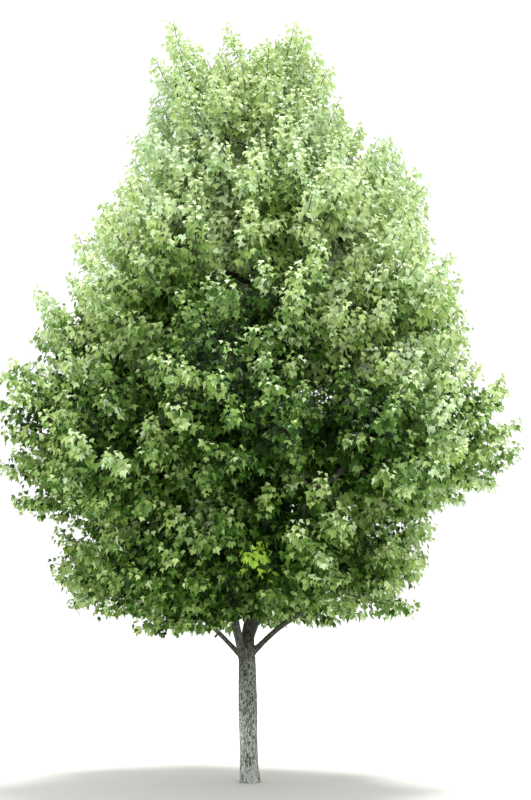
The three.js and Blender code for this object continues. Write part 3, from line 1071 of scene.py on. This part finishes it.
def leaf_tones(plume, depth, height, share, cluster, along_shoot):
    """Places of leaves in the row of leaf colours, from 0, the deepest, to 1, the palest, as painted light
    and shade with random spread.
    """
    # Painted light: leaves higher in the crown get paler.
    high = float(smooth_step(height, 3.3, 6.3))
    # Painted light on the crown's left and right sides, more on the right.
    sides = TONE_SIDE_LIGHT * abs(plume.out[0]) + TONE_RIGHT_SIDE_LIGHT * max(plume.out[0], 0)
    # Painted shade: leaves deeper in the crown get darker, and those near its surface lighter.
    unshaded = math.exp(-max(depth - 0.05, 0) / (0.30 + 0.42 * high + 0.5 * sides))
    # Painted sky light on plumes that face up.
    sky = TONE_SKY_LIGHT * (0.5 + 0.5 * plume.normal[2])
    tone = TONE_BASE + unshaded * (TONE_OUTSIDE_LIGHT + sky + TONE_LIGHT_HIGH_UP * high + sides + TONE_TIP_LIGHT * (share - 0.6))
    tone += TONE_CLUMP * cluster - TONE_SHADED * plume.shade
    # Painted highlight towards the plume's tip, mostly on the outside.
    tone += plume.tip_highlight * (unshaded if plume.outer else 0.2) * share**1.4
    varied = rng.normal(0, TONE_SPREAD - TONE_SPREAD_FALL * high, len(along_shoot))
    # Painted light towards each shoot's tip, and a random spread from leaf to leaf.
    return tone + np.interp(along_shoot, *TONE_SHOOT_TIP_LIGHT) + varied


def shoot_leaves(leaves, plume, line, length, first, share, tone_of):
    """Leaves in pairs along one shoot, hanging outward and down like shingles."""
    spacing = LEAF_PAIR_SPACING if plume.outer else INNER_PAIR_SPACING
    pairs = max(2, round(length * (1 - first) / spacing))
    shares = np.repeat(np.linspace(first, 1.0, pairs), 2)
    count = len(shares)
    feet = along_share(line, shares)
    way = unit(line[-1] - line[0])
    side = unit(np.cross(way, UP + rng.normal(0, 0.2, 3)))
    other = np.cross(side, way)
    turn = np.repeat(np.arange(pairs) % 2 * math.pi / 2, 2) + np.tile([0, math.pi], pairs)
    turn = turn + rng.normal(0, 0.3, count) + rng.uniform(-0.4, 0.4)
    away = np.cos(turn)[:, None] * side + np.sin(turn)[:, None] * other
    from_axis = feet - plume.at(np.full(count, min(share + 0.08, 1.0)))
    from_axis = unit(from_axis * (1, 1, 0) + 0.05 * plume.out + 0.04 * away)
    stalk_way = unit(0.8 * away + 0.6 * way + 0.35 * from_axis + rng.normal(0, LEAF_WANDER, (count, 3)))
    young = np.interp(shares, *YOUNG_ALONG_SHOOT)
    size = rng.uniform(*LEAF_SIZES, count) * (1 - YOUNG_SMALLER * young) * (1 - 0.14 * share)
    size = size if plume.outer else size * INNER_LEAF_SIZE
    stalk = STALK_LENGTH * size * rng.uniform(*STALK_SHARES, count)
    bases = feet + stalk_way * stalk[:, None]
    droop = (plume.droop * rng.uniform(*DROOP, count) * (1 - 0.35 * young * share))[:, None]
    along = 0.4 * stalk_way * (1, 1, 0.3) + 0.7 * from_axis + 0.15 * plume.out - droop * UP
    along = unit(along + rng.normal(0, LEAF_WANDER, (count, 3)))
    face = 0.55 * from_axis + 0.15 * plume.out + 0.9 * UP + rng.normal(0, LEAF_TILT, (count, 3))
    face = unit(face - (face * along).sum(1)[:, None] * along)
    tones = np.clip(np.round(tone_of(shares) * PALEST), 0, PALEST)
    marks = tones * len(LEAF_HUES) + int(plume.blueness + rng.normal(0, HUE_SPREAD) > 0)
    if plume.lime:
        marks = np.where(tones > 1, LIME_MARK, marks)
    size = size * LEAF_LENGTH
    ends = bases + along * size[:, None]
    above = ends[:, 2] > hem_at(ends)
    mass = np.full(count, masses.index(plume.mass))
    leaves.append([values[above] for values in (feet, bases, along, face, size, marks.astype(int), mass)])


# The room that shoots keep to: their leaves may pass the solids' box by 3 %.
LEAF_ROOM = 0.15
box_low, box_high = np.array(CAD_BOX)
room_over = 0.03 * (box_high - box_low)
CROWN_ROOM = (box_low - room_over + LEAF_ROOM, box_high + room_over - LEAF_ROOM)


def plume_leaves(leaves, plume, surface, twigs):
    """The side shoots of one plume with their leaves, and the leaves of its own tip."""
    count = max(4, round(plume.length / SIDE_SHOOT_SPACING))
    turn = rng.uniform(0, 2 * math.pi)
    cluster = float(1.6 * layered_noise(plume.line[-1:] / 0.7, SEED + 5, 2)[0])
    depths = [surface.find_nearest(Vector(place))[3] for place in plume.line]
    ring = twigs[plume.mass.ring]
    axis = unit(plume.line[-1] - plume.line[0])
    side = unit(np.cross(axis, plume.out + 0.1 * UP))
    other = np.cross(side, axis)

    def tone_at(share, place):
        depth = float(np.interp(share, np.linspace(0, 1, len(depths)), depths))
        return lambda shares: leaf_tones(plume, depth, place[2], share, cluster, shares)

    for share in np.linspace(*SIDE_SHOOT_SPAN, count):
        turn += GOLDEN_TURN + rng.normal(0, 0.15)
        foot = plume.at(share)
        length = SIDE_SHOOT_LENGTH * (1 - SIDE_SHOOT_TAPER * share) * rng.uniform(*SIDE_SHOOT_LENGTHS)
        level = math.cos(turn) * side + math.sin(turn) * other
        way = unit(0.95 * level + 0.62 * axis + 0.15 * plume.out)
        bend = unit(way + 0.6 * UP)
        line = np.clip(foot + length * np.outer([0, 1], unit(way + 0.2 * bend)), *CROWN_ROOM)
        if line[:, 2].min() < hem_at(foot) + 0.05:
            continue
        ring.add(*spike(line, SIDE_SHOOT_RADIUS), TWIG_MARK)
        shoot_leaves(leaves, plume, line, length, 0.28, share, tone_at(share, foot))
    tip_part = plume.at(np.linspace(0.62, 1, 4))
    shoot_leaves(leaves, plume, tip_part, plume.length * 0.38, 0.0, 0.95, tone_at(0.97, tip_part[-1]))


def make_leaves(leaves):
    """Leaves and their stalks, joined ring by ring and side by side."""
    feet, bases, along, face, size, marks, mass = (np.concatenate(values) for values in zip(*leaves))
    bends = [rng.uniform(*most, len(size)) for most in (LEAF_FOLD, LEAF_CURL, LEAF_TWIST)]
    blades = leaf_corners(bases, along, face, size, *bends)
    stalks = stalk_corners(feet, bases, STALK_WIDTH)
    names = np.array([piece_name(mass) for mass in masses])[mass]
    for name in np.unique(names):
        mine = names == name
        number = mine.sum()
        heap = Heap()
        step = np.arange(number)[:, None, None]
        faces = (step * len(LEAF_FLAT) + LEAF_FACES).reshape(-1, 3)
        heap.add(blades[mine].reshape(-1, 3), faces, np.repeat(marks[mine], len(LEAF_FACES)))
        heap.add(stalks[mine].reshape(-1, 3), np.arange(number * 3).reshape(-1, 3), STALK_MARK)
        made = heap.made_into(name, [*leaf_materials, stalk_material], smooth=False)
        finished(made, "foliage", *[mass.name for mass in masses if piece_name(mass) == name])


def piece_name(mass):
    if mass.ring == "top":
        return "leaves_top"
    return f"leaves_{mass.ring}_{'left' if mass.heart[0] < 0 else 'right'}"


def make_crown():
    triangles, owners = shown_faces()
    surface = tree_of(triangles)
    limb_joints = main_limbs()
    plumes = [Plume(*tip) for tip in surface_tips(triangles, owners) + inner_tips(surface)]
    plumes = [plume for plume in plumes if plume.line[-1, 2] > hem_at(plume.line[-1])]
    join_plumes(limb_joints, plumes)
    for plume in plumes:
        for joint in plume.joints[1:]:
            skeleton.loads[joint] += PLUME_LOAD
    twigs = make_limbs(skeleton.radii())
    leaves = []
    for plume in plumes:
        plume_leaves(leaves, plume, surface, twigs)
    make_leaves(leaves)
    for ring, heap in twigs.items():
        finished(heap.made_into(f"twigs_{ring}", [shaded_limb_material, twig_material]), "bough_bark")


# ---- floor, light and camera

FLOOR_RADIUS = 160
FLOOR_DROP = 0.002  # just under the flat foot of the trunk
SKY_STRENGTH = 1.15
SUN_STRENGTH = 4.2
SUN_WIDTH = 22  # degrees: wide, for soft shadows
SUN_TURN = (-9, 8, 0)  # degrees from straight down


def make_stage():
    place = (0, 0, -FLOOR_DROP)
    bpy.ops.mesh.primitive_circle_add(vertices=128, radius=FLOOR_RADIUS, fill_type="TRIFAN", location=place)
    floor = bpy.context.object
    floor.name = "floor"
    floor.data.materials.append(plain_material("floor", (226, 226, 222), 0.9, 0.2))
    world = bpy.data.worlds.new("studio")
    world.use_nodes = True
    scene.world = world
    background = world.node_tree.nodes["Background"]
    background.inputs["Color"].default_value = (1, 1, 1, 1)
    background.inputs["Strength"].default_value = SKY_STRENGTH
    sun = bpy.data.lights.new("key", "SUN")
    sun.energy, sun.angle = SUN_STRENGTH, math.radians(SUN_WIDTH)
    key = bpy.data.objects.new("key", sun)
    key.rotation_euler = [math.radians(turn) for turn in SUN_TURN]
    scene.collection.objects.link(key)
    scene.view_settings.view_transform = "Standard"


def make_camera():
    data = bpy.data.cameras.new("camera")
    data.lens = CAMERA_LENS
    camera = bpy.data.objects.new("camera", data)
    camera.location = CAMERA_PLACE
    camera.rotation_euler = (math.radians(90 + CAMERA_TILT), 0, 0)
    scene.collection.objects.link(camera)
    bpy.context.scene.camera = camera


make_camera()
make_stage()
make_crown()
make_bark()
